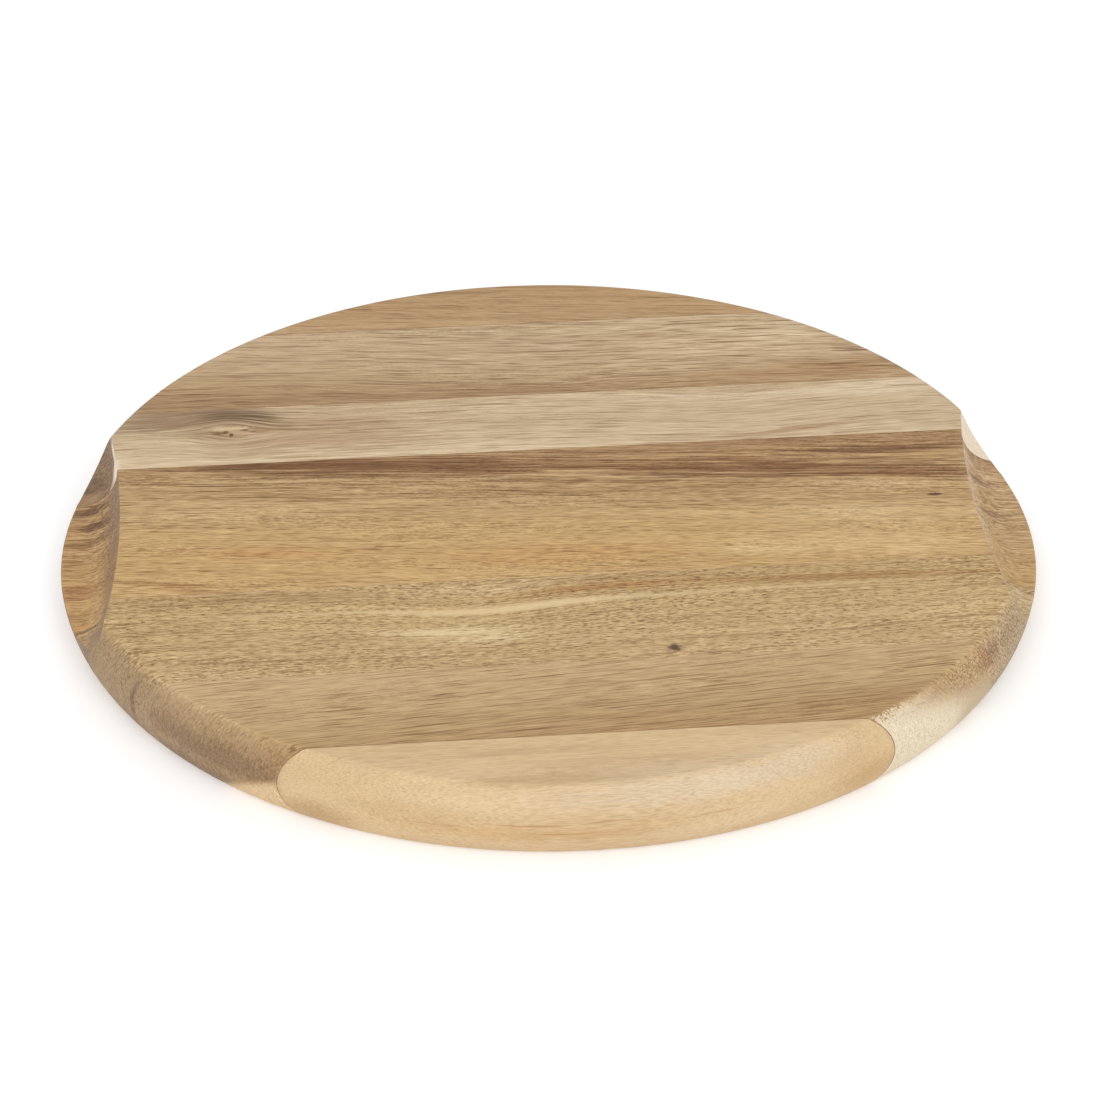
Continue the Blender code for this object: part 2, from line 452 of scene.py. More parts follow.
# Solid wood, worked out from the place in millimetres, so that long grain, end grain and the grips agree.
# The flow is the place with the grain's slope and wander taken out, so every layer of noise runs along
# the fibres. Far and near are the stave's edges across Y.
def woodMaterial(stave, far, near):
    material = bpy.data.materials.new(stave["node"] + "_wood")
    material.use_nodes = True
    tree = material.node_tree
    shader = tree.nodes["Principled BSDF"]
    w = wiring(tree)
    where = tree.nodes.new("ShaderNodeTexCoord")
    spot = w.vector("MULTIPLY", where.outputs["Object"], (perMetre, perMetre, perMetre))
    x, y, z = w.split(spot)
    top = thickness * perMetre
    seed = stave["seed"]
    slope = stave["slope"]
    seeded = w.vector("ADD", spot, tuple(seed * step for step in wood["staveShift"]))

    def wander(shift):
        scale = tuple(1 / size for size in wood["swing"])
        swing = w.noise(w.vector("MULTIPLY_ADD", seeded, scale, (shift, shift, 0.0)), 2.0)
        return w.calc("MULTIPLY_ADD", swing, 2 * stave["wander"], -stave["wander"])

    across = w.calc("ADD", w.calc("MULTIPLY_ADD", x, -slope, y), wander(0.0))
    deep = w.calc("ADD", z, wander(wood["deepShift"]))
    for bend in stave.get("bends", []):  # the grain parts round a knot, or sags
        reach = w.vector("LENGTH", w.vector("DIVIDE", w.vector("SUBTRACT", spot, bend["at"]), bend["size"]))
        pull = w.calc("EXPONENT", w.calc("MULTIPLY", w.calc("POWER", reach, 2.0), -1.0))
        gap = w.calc("SUBTRACT", y, bend["at"][1])
        shift = w.calc("MULTIPLY_ADD", gap, -bend.get("part", 0.0), bend.get("sag", 0.0))
        across = w.calc("MULTIPLY_ADD", shift, pull, across)
    flow = w.join(x, across, deep)
    leaning = w.join(x, w.calc("MULTIPLY_ADD", x, -stave["lean"], across), deep)

    # one layer: noise stretched along the grain, or a mask of it
    def grain(name, **own):
        layer = {**layers[name], **own}
        width, shift = layer["width"], layer["shift"]
        first, second, third = (seed * step for step in wood["layerShift"])
        scale = (1 / layer["length"], 1 / width, 1 / (width * stave["tall"]))
        place = w.vector("MULTIPLY_ADD", leaning, scale, (first + shift, second + shift, third))
        streaks = w.noise(place, layer["detail"])
        return w.smooth(streaks, *layer["cut"]) if "cut" in layer else streaks

    def uneven(layer):  # noise about nought
        return w.calc("SUBTRACT", layer, 0.5)

    fibre = grain("fibre", length=stave["fine"])
    line = grain("line")
    band = grain("band")
    broad = grain("broad")
    fleck = grain("fleck")
    speck = w.noise(w.vector("MULTIPLY", seeded, wood["specks"]), 1.0)

    # facing is 1 where the surface cuts across the grain, away from the flat top
    normalX, _, normalZ = w.split(where.outputs["Normal"])
    facing = w.smooth(w.calc("ABSOLUTE", normalX), *wood["endGrain"])
    facing = w.calc("MULTIPLY", facing, w.smooth(normalZ, *wood["topGrain"]))
    rightward = w.smooth(x, -wood["blend"], wood["blend"])
    keep = w.calc("MULTIPLY_ADD", facing, stave["keep"] - 1.0, 1.0)  # share of the streaks kept there
    for calm in stave.get("calms", []):  # lengths with fainter streaks
        fainter = w.calc("MULTIPLY_ADD", w.smooth(x, *calm["span"]), -calm["loss"], 1.0)
        keep = w.calc("MULTIPLY", keep, fainter)

    # tones across the stave, from its far edge to its near edge
    share = w.calc("DIVIDE", w.calc("SUBTRACT", far, across), far - near)
    colour = w.ramp(share, [(place, linear(tone)) for place, tone in stave["tones"]])
    figure = w.ramp(share, [(place, (amount, amount, amount, 1)) for place, amount in stave["figure"]])

    # patches of another tone: soft ellipsoids along the grain, with edges frayed into streaks
    def paint(colour, patch):
        px, py, pz = patch["at"]
        dx, dy, dz = w.split(w.vector("SUBTRACT", flow, (px, py - slope * px, pz)))
        dy = w.calc("MULTIPLY_ADD", dx, -patch.get("slope", 0.0), dy)
        reach = w.vector("LENGTH", w.vector("DIVIDE", w.join(dx, dy, dz), patch["size"]))
        frayed = w.calc("MULTIPLY_ADD", uneven(line), patch.get("fray", 2.0), reach)
        mask = w.calc("MULTIPLY", w.smooth(frayed, 1.0, patch.get("core", 0.2)), patch["cover"])
        return w.mix(mask, colour, linear(patch["tone"]))

    for patch in stave["patches"]:
        colour = paint(colour, patch)

    # streaks: dark and pale tints mixed by noise of several widths, and by growth rings round the pith
    pithY = w.calc("SUBTRACT", across, stave["pith"][0])
    pithZ = w.calc("SUBTRACT", deep, stave["pith"][1])
    ringCount = w.calc("DIVIDE", w.vector("LENGTH", w.join(0.0, pithY, pithZ)), stave["ring"])
    ringPlace = w.join(w.calc("DIVIDE", x, wood["ringLength"]), ringCount, seed * wood["ringShift"])
    rings = w.noise(ringPlace, 2.0)
    level = 0.5
    for amount, layer in (("line", line), ("band", band), ("rings", rings)):
        level = w.calc("MULTIPLY_ADD", uneven(layer), w.calc("MULTIPLY", figure, stave[amount]), level)
    for amount, layer in (("fibre", fibre), ("broad", broad)):
        level = w.calc("MULTIPLY_ADD", uneven(layer), stave[amount], level)
    mottled = w.calc("MULTIPLY", grain("mottle"), stave["fleck"])
    level = w.calc("MULTIPLY_ADD", uneven(fleck), mottled, level)
    level = w.calc("MULTIPLY_ADD", uneven(level), keep, 0.5)
    leftCoarse = wood["leftSpeck"] * stave["speck"]
    coarse = w.calc("MULTIPLY_ADD", rightward, stave["speck"] - leftCoarse, leftCoarse)
    level = w.calc("MULTIPLY_ADD", uneven(speck), w.calc("MULTIPLY", facing, coarse), level)
    tint = w.ramp(level, [(0.0, tints["darkStreak"]), (0.5, tints["plain"]), (1.0, tints["paleStreak"])])
    colour = w.mix(1.0, colour, tint, "MULTIPLY")

    # hairlines along the grain, dark and pale, and pores as dark dashes: all fade on the end grain
    leftLoss, rightLoss = wood["hairlineLoss"]
    loss = w.calc("MULTIPLY_ADD", rightward, leftLoss - rightLoss, -leftLoss)
    fade = w.calc("MULTIPLY", w.calc("MULTIPLY_ADD", facing, loss, 1.0), keep)
    scratch = w.calc("MULTIPLY", grain("scratch"), figure)
    gleam = w.calc("MULTIPLY", grain("gleam"), figure)
    crowded = w.calc("MULTIPLY_ADD", grain("crowd"), 1 - wood["poreFloor"], wood["poreFloor"])
    pores = w.calc("MULTIPLY", grain("pores", length=stave["dash"]), crowded)
    for amount, layer in (("scratch", scratch), ("gleam", gleam), ("pores", pores)):
        strength = w.calc("MULTIPLY", layer, w.calc("MULTIPLY", fade, stave[amount]))
        colour = w.stain(strength, colour, tints[amount])

    for vein in stave.get("veins", []):  # patches that lie over the streaks
        colour = paint(colour, vein)

    # end grain is tinted by end: the darker left tint is partly the end grain's own colour and partly painted
    # shade on the end turned from the light. End grain also darkens beside the joints
    endTintAndShade = w.mix(rightward, stave["leftEndTintAndShade"] + (1,), stave["rightEnd"] + (1,))
    colour = w.stain(facing, colour, endTintAndShade)
    edge = w.calc("MINIMUM", w.calc("SUBTRACT", far, y), w.calc("SUBTRACT", y, near))
    beside = w.smooth(edge, *wood["jointReach"])
    joint = w.calc("MULTIPLY", beside, w.calc("MULTIPLY", facing, wood["jointStain"]))
    colour = w.stain(joint, colour, tints["joint"])

    # other wood below a sloping surface inside the stave, towards one end. Level and tilt give the surface's
    # height; soft, fray, ragged and speckle break up its edge; none of it comes through the flat top.
    for zone in stave.get("zones", []):
        shading = w.smooth(line, *wood["zoneShade"])
        streaked = w.mix(shading, linear(zone["shade"]), linear(zone["tone"]))
        grained = w.mix(1.0, streaked, w.mix(zone["grain"], tints["plain"], tint), "MULTIPLY")
        surface = w.calc("MULTIPLY_ADD", y, zone["tilt"][1], zone["level"])
        surface = w.calc("MULTIPLY_ADD", x, zone["tilt"][0], surface)
        fray = w.calc("MULTIPLY_ADD", w.smooth(z, top, 0.0), zone["ragged"], zone["fray"])
        height = w.calc("MULTIPLY_ADD", uneven(speck), zone["speckle"], z)
        above = w.calc("MULTIPLY_ADD", uneven(line), fray, w.calc("SUBTRACT", height, surface))
        mask = w.calc("MULTIPLY", w.smooth(above, zone["soft"], -zone["soft"]), zone["cover"])
        along = w.calc("MULTIPLY_ADD", uneven(line), wood["zoneStreak"], w.calc("MULTIPLY", x, zone["side"]))
        mask = w.calc("MULTIPLY", mask, w.smooth(along, *zone["reach"]))
        mask = w.calc("MULTIPLY", mask, w.smooth(height, *(top - drop for drop in wood["zoneFade"])))
        mask = w.calc("MULTIPLY", mask, w.smooth(z, top, top - wood["zoneSkin"]))
        colour = w.mix(mask, colour, grained)

    for knot in stave.get("knots", []):  # spots over all else, frayed by the flecks
        reach = w.vector("LENGTH", w.vector("DIVIDE", w.vector("SUBTRACT", spot, knot["at"]), knot["size"]))
        frayed = w.calc("MULTIPLY_ADD", uneven(fleck), knot.get("fray", 1.2), reach)
        mask = w.calc("MULTIPLY", w.smooth(frayed, 1.0, knot.get("core", 0.3)), knot["cover"])
        colour = w.mix(mask, colour, linear(knot["tone"]))

    w.feed(shader.inputs["Base Color"], colour)
    w.feed(shader.inputs["Roughness"], w.calc("MULTIPLY_ADD", fibre, -oil["fibreGloss"], oil["roughness"]))
    shader.inputs["Specular IOR Level"].default_value = oil["specular"]
    bump = tree.nodes.new("ShaderNodeBump")
    bump.inputs["Strength"].default_value = oil["bump"]
    bump.inputs["Distance"].default_value = oil["relief"]
    w.feed(bump.inputs["Height"], w.calc("SUBTRACT", fibre, pores))
    tree.links.new(bump.outputs["Normal"], shader.inputs["Normal"])
    return material


# The staves, from far to near. Places and sizes are in millimetres, tones red, green and blue from 0 to 255.
#   slope, lean: how far the grain, and its fine lines besides, climb towards +Y for each unit along X
#   wander: how far the grain swings; pith, ring: centre of the growth rings (y and z), and width of one
#   tall: depth of a streak for its width; fine, dash: lengths of the fibres and of the pores
#   tones, figure: colours, and strength of the streaks, from the far edge (0) to the near edge (1)
#   cover: how far a patch, vein, zone or knot hides what lies under it; fray, core: its edge
#   fibre to pores: strength of each layer; keep: share of the streaks that the end grain keeps
#   speck: coarseness of the end grain; leftEndTintAndShade, rightEnd: its tints at each end, the darker left
#       tint partly painted shade
farEdge = dict(
    node="stave_1_far_edge", seed=1, slope=-0.02, lean=-0.1, wander=1.5,
    pith=(190, -40), ring=4.0, tall=1.5, fine=5.0,
    tones=[(0.0, (171, 138, 98)), (0.45, (178, 145, 103)), (1.0, (183, 150, 109))],
    patches=[
        dict(at=(-40, 141, 25), size=(60, 3, 12), tone=(170, 130, 90), cover=0.5),
        dict(at=(40, 149, 25), size=(55, 3, 12), tone=(172, 133, 92), cover=0.5),
        dict(at=(-72, 130.5, 25), size=(42, 4, 10), tone=(200, 168, 128), cover=0.45),
    ],
    figure=[(0.0, 1.0), (1.0, 1.0)],
    fibre=0.85, line=0.6, band=0.45, broad=0.25, fleck=0.3, rings=0.4,
    scratch=0.7, gleam=0.5, dash=8, pores=0.5, keep=0.8, speck=0.5,
    leftEndTintAndShade=(0.95, 0.95, 0.95), rightEnd=(1.0, 1.0, 1.0),
)
pored = dict(
    node="stave_2_pored", seed=2, slope=-0.04, lean=0.0, wander=2.5,
    pith=(60, -60), ring=4.5, tall=1.5, fine=8.0,
    tones=[
        (0.0, (192, 166, 130)), (0.35, (192, 165, 130)), (0.7, (186, 158, 121)),
        (0.88, (176, 146, 108)), (1.0, (166, 135, 97)),
    ],
    patches=[
        dict(at=(35, 120, 25), size=(60, 4, 12), tone=(214, 190, 154), cover=0.6),
        dict(at=(-70, 125, 25), size=(42, 2.8, 10), tone=(168, 141, 109), cover=0.45),
        dict(at=(76, 104, 25), size=(45, 9, 14), tone=(208, 182, 144), cover=0.65),
        dict(at=(84, 114, 25), size=(34, 9, 12), tone=(216, 193, 157), cover=0.65),
        dict(at=(-5, 82.5, 25), size=(50, 4.5, 12), tone=(150, 118, 84), cover=0.5),
        dict(at=(48, 95.5, 25), size=(45, 4, 10), tone=(212, 185, 147), cover=0.5),
        dict(at=(-45, 78.5, 25), size=(62, 2.6, 12), tone=(150, 118, 84), cover=0.45),
        dict(at=(104, 85, 25), size=(62, 9.5, 14), tone=(168, 132, 92), cover=0.8, slope=0.13, fray=1.4),
        dict(at=(-118, 79, 25), size=(34, 4, 14), tone=(152, 120, 84), cover=0.35),
    ],
    bends=[dict(at=(-105, 100, 25), size=(65, 60, 40), sag=-5.0)],
    calms=[dict(span=(-15, -75), loss=0.22)],
    figure=[(0.0, 1.0), (1.0, 1.0)],
    fibre=1.65, line=0.66, band=0.4, broad=0.25, fleck=0.8, rings=0.3,
    scratch=1.0, gleam=1.0, dash=17, pores=0.95, keep=0.8, speck=0.8,
    leftEndTintAndShade=(0.85, 0.86, 0.95), rightEnd=(1.0, 1.0, 1.05),
)
sapwood = dict(
    node="stave_3_sapwood", seed=3, slope=-0.02, lean=0.0, wander=2.0,
    pith=(-30, -80), ring=5.0, tall=1.5, fine=8.0,
    tones=[
        (0.0, (195, 170, 133)), (0.14, (201, 177, 143)), (0.35, (197, 173, 139)),
        (0.65, (199, 175, 141)), (1.0, (210, 187, 153)),
    ],
    patches=[
        dict(at=(-74, 60, 25), size=(60, 22, 20), tone=(172, 142, 108), cover=0.72),
        dict(at=(-118, 71, 25), size=(46, 15, 20), tone=(143, 115, 84), cover=0.85, fray=1.2),
        dict(at=(-99, 70, 25), size=(21, 8, 20), tone=(104, 81, 57), cover=0.65, fray=1.2),
        dict(at=(122, 72, 25), size=(44, 7, 16), tone=(226, 206, 176), cover=0.7),
        dict(at=(58, 74, 25), size=(80, 4.2, 10), tone=(217, 196, 165), cover=0.55, fray=1.4),
        dict(at=(84, 48.2, 25), size=(34, 2.6, 10), tone=(160, 125, 87), cover=0.65, slope=0.1, fray=1.6),
        dict(at=(72, 44.4, 25), size=(22, 1.6, 10), tone=(160, 126, 88), cover=0.6, slope=0.1, fray=1.6),
    ],
    bends=[
        dict(at=(-102, 61, 25), size=(14, 11, 30), part=0.85),
        dict(at=(66, 58, 25), size=(40, 40, 40), sag=4.5),
    ],
    zones=[
        dict(
            level=-4.0, tilt=(0.0, 0.52), side=-1, reach=(20, 100), soft=0.9, fray=1.2, ragged=0, speckle=0,
            grain=1.0, tone=(140, 110, 82), shade=(104, 78, 54), cover=0.9,
        ),
        dict(
            level=-58.9, tilt=(0.6, 0.0), side=1, reach=(50, 100), soft=1.0, fray=1.0, ragged=60, speckle=0,
            grain=0.3, tone=(239, 223, 199), shade=(234, 217, 192), cover=0.9,
        ),
    ],
    knots=[
        dict(at=(-102, 63.6, 25), size=(9, 1.8, 12), tone=(216, 186, 146), cover=0.8),
        dict(at=(-101, 60.6, 25), size=(6, 2.6, 12), tone=(186, 150, 108), cover=0.7),
        dict(at=(-106.2, 60.6, 25), size=(2.8, 0.9, 8), tone=(112, 80, 50), cover=0.9, fray=0.8),
        dict(at=(-103.6, 61.2, 25), size=(1.5, 1.4, 8), tone=(104, 72, 46), cover=0.9, fray=0.8),
        dict(at=(-101.9, 59.2, 25), size=(1.1, 1.7, 8), tone=(94, 64, 40), cover=0.9, fray=0.6),
        dict(at=(-97.4, 62.2, 25), size=(2.4, 0.8, 8), tone=(104, 74, 48), cover=0.9, fray=0.8),
        dict(at=(-94.6, 60.9, 25), size=(1.4, 0.8, 8), tone=(130, 96, 64), cover=0.8, fray=0.8),
        dict(at=(-90, 61.0, 25), size=(4, 0.8, 8), tone=(160, 122, 84), cover=0.6),
        dict(at=(-112, 61.0, 25), size=(4, 0.8, 8), tone=(156, 122, 86), cover=0.6),
        # pale spots along the left grip's top edge: partly pale sapwood, partly a painted highlight on the
        # eased edge
        dict(at=(-141.5, 43, 22.6), size=(4.5, 9, 3.8), tone=(250, 236, 216), cover=0.8, fray=0.4),
        dict(at=(-142, 54.5, 23.2), size=(3, 10, 1.7), tone=(250, 236, 216), cover=0.8, fray=0.4),
        dict(at=(-150, 50, 13.5), size=(9, 8, 5), tone=(104, 80, 58), cover=0.5),
        dict(at=(-152, 43, 11.5), size=(10, 5, 8), tone=(172, 138, 102), cover=0.6, fray=0.8),
    ],
    figure=[(0.0, 1.0), (1.0, 1.0)],
    fibre=1.4, line=0.5, band=0.25, broad=0.2, fleck=0.4, rings=0.3,
    scratch=0.75, gleam=0.5, dash=20, pores=0.5, keep=0.9, speck=0.5,
    leftEndTintAndShade=(1.04, 1.06, 1.12), rightEnd=(1.05, 1.08, 1.14),
)
heartwood = dict(
    node="stave_4_heartwood", seed=4, slope=-0.05, lean=-0.035, wander=2.0,
    pith=(90, -30), ring=4.0, tall=2.0, fine=5.0,
    tones=[
        (0.0, (167, 131, 91)), (0.08, (174, 139, 96)), (0.2, (183, 151, 107)),
        (0.45, (187, 154, 108)), (0.62, (192, 158, 107)), (0.9, (191, 156, 104)), (1.0, (197, 162, 110)),
    ],
    patches=[
        dict(at=(-85, 38, 25), size=(66, 4.8, 14), tone=(114, 76, 45), cover=0.95, slope=0.03, fray=1.6),
        dict(at=(-28, 32, 25), size=(88, 10.2, 14), tone=(122, 81, 47), cover=0.82, slope=-0.05, fray=2.2),
        dict(at=(76, 21.5, 25), size=(98, 10, 14), tone=(124, 80, 45), cover=0.79, slope=-0.05, fray=2.2),
        dict(at=(120, 14.5, 25), size=(38, 4, 14), tone=(134, 87, 52), cover=0.5, slope=-0.03, fray=1.4),
        dict(at=(118, 30, 25), size=(52, 3.6, 14), tone=(122, 84, 52), cover=0.8, slope=0.02, fray=2.0),
        dict(at=(70, 37.5, 25), size=(70, 3.4, 14), tone=(140, 107, 76), cover=0.4, slope=0.04, fray=1.8),
        dict(at=(-75, 31, 25), size=(36, 4.6, 14), tone=(124, 85, 51), cover=0.65, slope=-0.05, fray=1.6),
        dict(at=(-85, 24, 25), size=(62, 4, 12), tone=(150, 114, 74), cover=0.45),
        dict(at=(-22, 13, 25), size=(50, 5, 12), tone=(156, 122, 83), cover=0.5),
        dict(at=(108, 6.5, 25), size=(42, 3.6, 12), tone=(204, 172, 128), cover=0.6, slope=0.02, fray=1.4),
        dict(at=(-105, 6, 25), size=(52, 8, 12), tone=(204, 173, 126), cover=0.5),
        dict(at=(105, -10, 25), size=(62, 11, 12), tone=(208, 180, 137), cover=0.45),
        dict(at=(102, -28, 25), size=(72, 15, 12), tone=(212, 180, 132), cover=0.45),
        dict(at=(67, -29.5, 25), size=(22, 4, 10), tone=(212, 182, 132), cover=0.6),
        dict(at=(-92, -17, 25), size=(40, 6, 10), tone=(198, 150, 94), cover=0.5),
        dict(at=(0, -26, 25), size=(50, 9, 10), tone=(198, 152, 96), cover=0.5),
        dict(at=(-126, -33, 25), size=(22, 2.4, 10), tone=(158, 116, 70), cover=0.7, slope=-0.16, fray=1.2),
        dict(at=(-116, -38, 25), size=(18, 2.2, 10), tone=(162, 118, 72), cover=0.6, slope=-0.14, fray=1.2),
        dict(at=(-154, -4, 10), size=(20, 70, 6), tone=(188, 146, 98), cover=0.6),
        dict(at=(-144.5, -2, 16), size=(7, 66, 5), tone=(146, 112, 76), cover=0.42, fray=0.8),
        dict(at=(-153, -30, 11), size=(14, 5, 8), tone=(164, 124, 82), cover=0.5),
        dict(at=(-150, 35, 11.5), size=(14, 5, 8), tone=(112, 80, 52), cover=0.9, fray=1.4),
        dict(at=(-147.5, 24.5, 12.5), size=(9, 4.5, 8), tone=(112, 78, 50), cover=0.85, fray=1.4),
        dict(at=(-150, 17, 12), size=(14, 5, 8), tone=(128, 92, 58), cover=0.6),
        dict(at=(-154, -14, 11), size=(20, 5, 9), tone=(158, 110, 72), cover=0.5),
        dict(at=(142, 0, 19), size=(9, 62, 8), tone=(222, 196, 158), cover=0.6, fray=0.6),
        dict(at=(153, 4, 10), size=(14, 50, 6), tone=(200, 170, 130), cover=0.6, fray=0.8),
        dict(at=(150, 29, 12), size=(12, 12, 8), tone=(206, 175, 138), cover=0.6, fray=0.8),
        dict(at=(143, 32, 19), size=(6, 8, 7), tone=(222, 192, 158), cover=0.6, fray=0.6),
        dict(at=(147, 23.5, 14), size=(8, 2.4, 8), tone=(124, 98, 76), cover=0.7, fray=1.2),
        dict(at=(149, 5, 13.5), size=(11, 2.6, 7), tone=(140, 108, 80), cover=0.6, fray=1.2),
    ],
    knots=[
        dict(at=(127.9, -0.9, 25), size=(3.3, 1.2, 8), tone=(94, 58, 34), cover=0.95, fray=0.7, core=0.4),
        dict(at=(-150, -38.6, 12), size=(14, 1.6, 7), tone=(112, 80, 56), cover=0.7, fray=0.6),
        dict(at=(-153, -35.5, 11), size=(5, 2.2, 4), tone=(206, 142, 86), cover=0.45),
    ],
    figure=[(0.0, 1.1), (0.4, 1.0), (0.6, 0.45), (0.9, 0.4), (1.0, 0.6)],
    fibre=2.3, line=1.0, band=0.8, broad=0.35, fleck=1.4, rings=0.6,
    scratch=0.9, gleam=0.8, dash=9, pores=0.65, keep=0.9, speck=0.8,
    leftEndTintAndShade=(0.66, 0.65, 0.82), rightEnd=(1.02, 1.04, 1.08),
)
interlocked = dict(
    node="stave_5_interlocked", seed=5, slope=0.0, lean=0.0, wander=1.2,
    pith=(-20, -50), ring=4.0, tall=3.0, fine=3.5,
    tones=[
        (0.0, (191, 161, 115)), (0.025, (184, 153, 106)), (0.3, (190, 161, 113)),
        (0.6, (190, 162, 116)), (0.93, (189, 160, 115)), (1.0, (197, 169, 125)),
    ],
    patches=[
        dict(at=(13, -46, 25), size=(46, 4.0, 12), tone=(160, 113, 64), cover=0.75, fray=1.6),
        dict(at=(92, -48.3, 25), size=(68, 3.8, 12), tone=(166, 124, 74), cover=0.6, slope=-0.03, fray=1.8),
        dict(at=(-108, -44.5, 25), size=(48, 4, 12), tone=(154, 122, 82), cover=0.55),
        dict(at=(-26, -42.5, 25), size=(42, 4.2, 12), tone=(208, 181, 136), cover=0.6),
        dict(at=(-38, -66, 25), size=(31, 4.5, 10), tone=(220, 196, 150), cover=0.8, fray=1.6),
        dict(at=(-25, -71.2, 25), size=(20, 4.2, 10), tone=(218, 194, 150), cover=0.7, fray=1.6),
        dict(at=(148, -48, 13), size=(14, 14, 14), tone=(208, 182, 143), cover=0.6, fray=0.8),
        dict(at=(138, -80, 5), size=(20, 26, 8), tone=(176, 158, 118), cover=0.9, fray=0.8),
        dict(at=(-138, -78, 4), size=(16, 20, 7), tone=(146, 120, 92), cover=0.4, fray=0.8),
        dict(at=(-147, -47, 13), size=(15, 13, 14), tone=(156, 130, 103), cover=0.75, fray=0.8),
        dict(at=(-136, -81.5, 13), size=(14, 1.8, 13), tone=(122, 92, 74), cover=0.6, fray=0.8),
        dict(at=(131, -87, 19.5), size=(8, 5, 5), tone=(148, 106, 66), cover=0.6, fray=1.6),
        dict(at=(138, -76, 19.5), size=(9, 12, 3.4), tone=(150, 116, 80), cover=0.4, fray=1.6),
    ],
    veins=[
        dict(at=(-16, -53.2, 25), size=(66, 2.9, 12), tone=(222, 197, 151), cover=0.8, fray=0.6, core=0.25),
        dict(at=(62, -52.8, 25), size=(90, 1.3, 12), tone=(211, 185, 141), cover=0.55, slope=0.02, fray=0.5),
        dict(at=(-84, -53.4, 25), size=(48, 1.1, 12), tone=(211, 185, 141), cover=0.6, fray=0.4),
        dict(at=(-40, -66.4, 25), size=(26, 1.8, 10), tone=(218, 195, 152), cover=0.5, fray=1.2),
        dict(at=(-97, -80.3, 25), size=(44, 1.0, 12), tone=(148, 116, 75), cover=0.5, slope=-0.02, fray=0.6),
        dict(at=(58, -79.0, 25), size=(56, 0.9, 12), tone=(142, 110, 70), cover=0.5, slope=0.005, fray=0.6),
        dict(at=(97, -77.6, 25), size=(20, 0.9, 12), tone=(136, 104, 66), cover=0.6, slope=0.08, fray=0.6),
        dict(at=(123, -75.0, 25), size=(13, 0.7, 12), tone=(142, 110, 72), cover=0.5, slope=0.05, fray=0.6),
    ],
    bends=[dict(at=(-30, -56, 25), size=(30, 22, 60), sag=4.7)],
    knots=[
        dict(at=(31.9, -84.7, 25), size=(5.5, 3.4, 20), tone=(156, 124, 90), cover=0.7),
        dict(at=(31.9, -84.2, 25), size=(2.7, 2.7, 20), tone=(82, 57, 46), cover=0.92),
    ],
    figure=[(0.0, 1.0), (1.0, 1.0)],
    fibre=2.8, line=0.95, band=0.5, broad=0.3, fleck=2.0, rings=0.3,
    scratch=0.6, gleam=0.5, dash=2.4, pores=0.95, keep=0.5, speck=3.5,
    leftEndTintAndShade=(0.69, 0.67, 0.76), rightEnd=(0.86, 0.89, 1.05),
)
straight = dict(
    node="stave_6_straight", seed=6, slope=0.06, lean=0.03, wander=1.2,
    pith=(-60, -60), ring=4.0, tall=3.0, fine=8.0,
    tones=[(0.0, (192, 163, 121)), (0.4, (187, 158, 115)), (0.8, (178, 147, 104)), (1.0, (170, 137, 95))],
    patches=[
        dict(at=(95, -117, 25), size=(60, 5, 8), tone=(156, 119, 80), cover=0.35),
        dict(at=(4, -121.5, 25), size=(58, 4.5, 8), tone=(162, 129, 90), cover=0.5),
        dict(at=(-114, -110, 14), size=(60, 60, 7), tone=(122, 93, 70), cover=0.45, fray=1.2),
        dict(at=(-120, -104, 3), size=(60, 60, 7), tone=(122, 95, 72), cover=0.5, fray=1.2),
        dict(at=(101, -120, 23.4), size=(17, 13, 2.0), tone=(222, 197, 156), cover=0.5, fray=1.0),
        dict(at=(129, -92, 19), size=(10, 6, 5), tone=(146, 104, 64), cover=0.6, fray=1.6),
    ],
    zones=[
        dict(
            level=-71.1, tilt=(0.0, -0.65), side=-1, reach=(-15, 60), soft=1.6, fray=4.0, ragged=0, speckle=4,
            grain=0.6, tone=(219, 191, 149), shade=(208, 180, 138), cover=0.95,
        ),
        dict(
            level=-48.6, tilt=(0.0, -0.6), side=1, reach=(-15, 60), soft=6.0, fray=8.0, ragged=0, speckle=16,
            grain=0.3, tone=(223, 209, 181), shade=(219, 204, 176), cover=0.95,
        ),
    ],
    knots=[dict(at=(125, -98.5, 7), size=(17, 15, 14), tone=(186, 163, 130), cover=0.78, fray=0.8)],
    figure=[(0.0, 0.8), (0.5, 1.0), (1.0, 1.2)],
    fibre=1.7, line=0.42, band=0.18, broad=0.15, fleck=0.6, rings=0.2,
    scratch=0.8, gleam=0.5, dash=16, pores=0.65, keep=0.5, speck=3.8,
    leftEndTintAndShade=(0.70, 0.675, 0.71), rightEnd=(0.92, 0.90, 0.92),
)
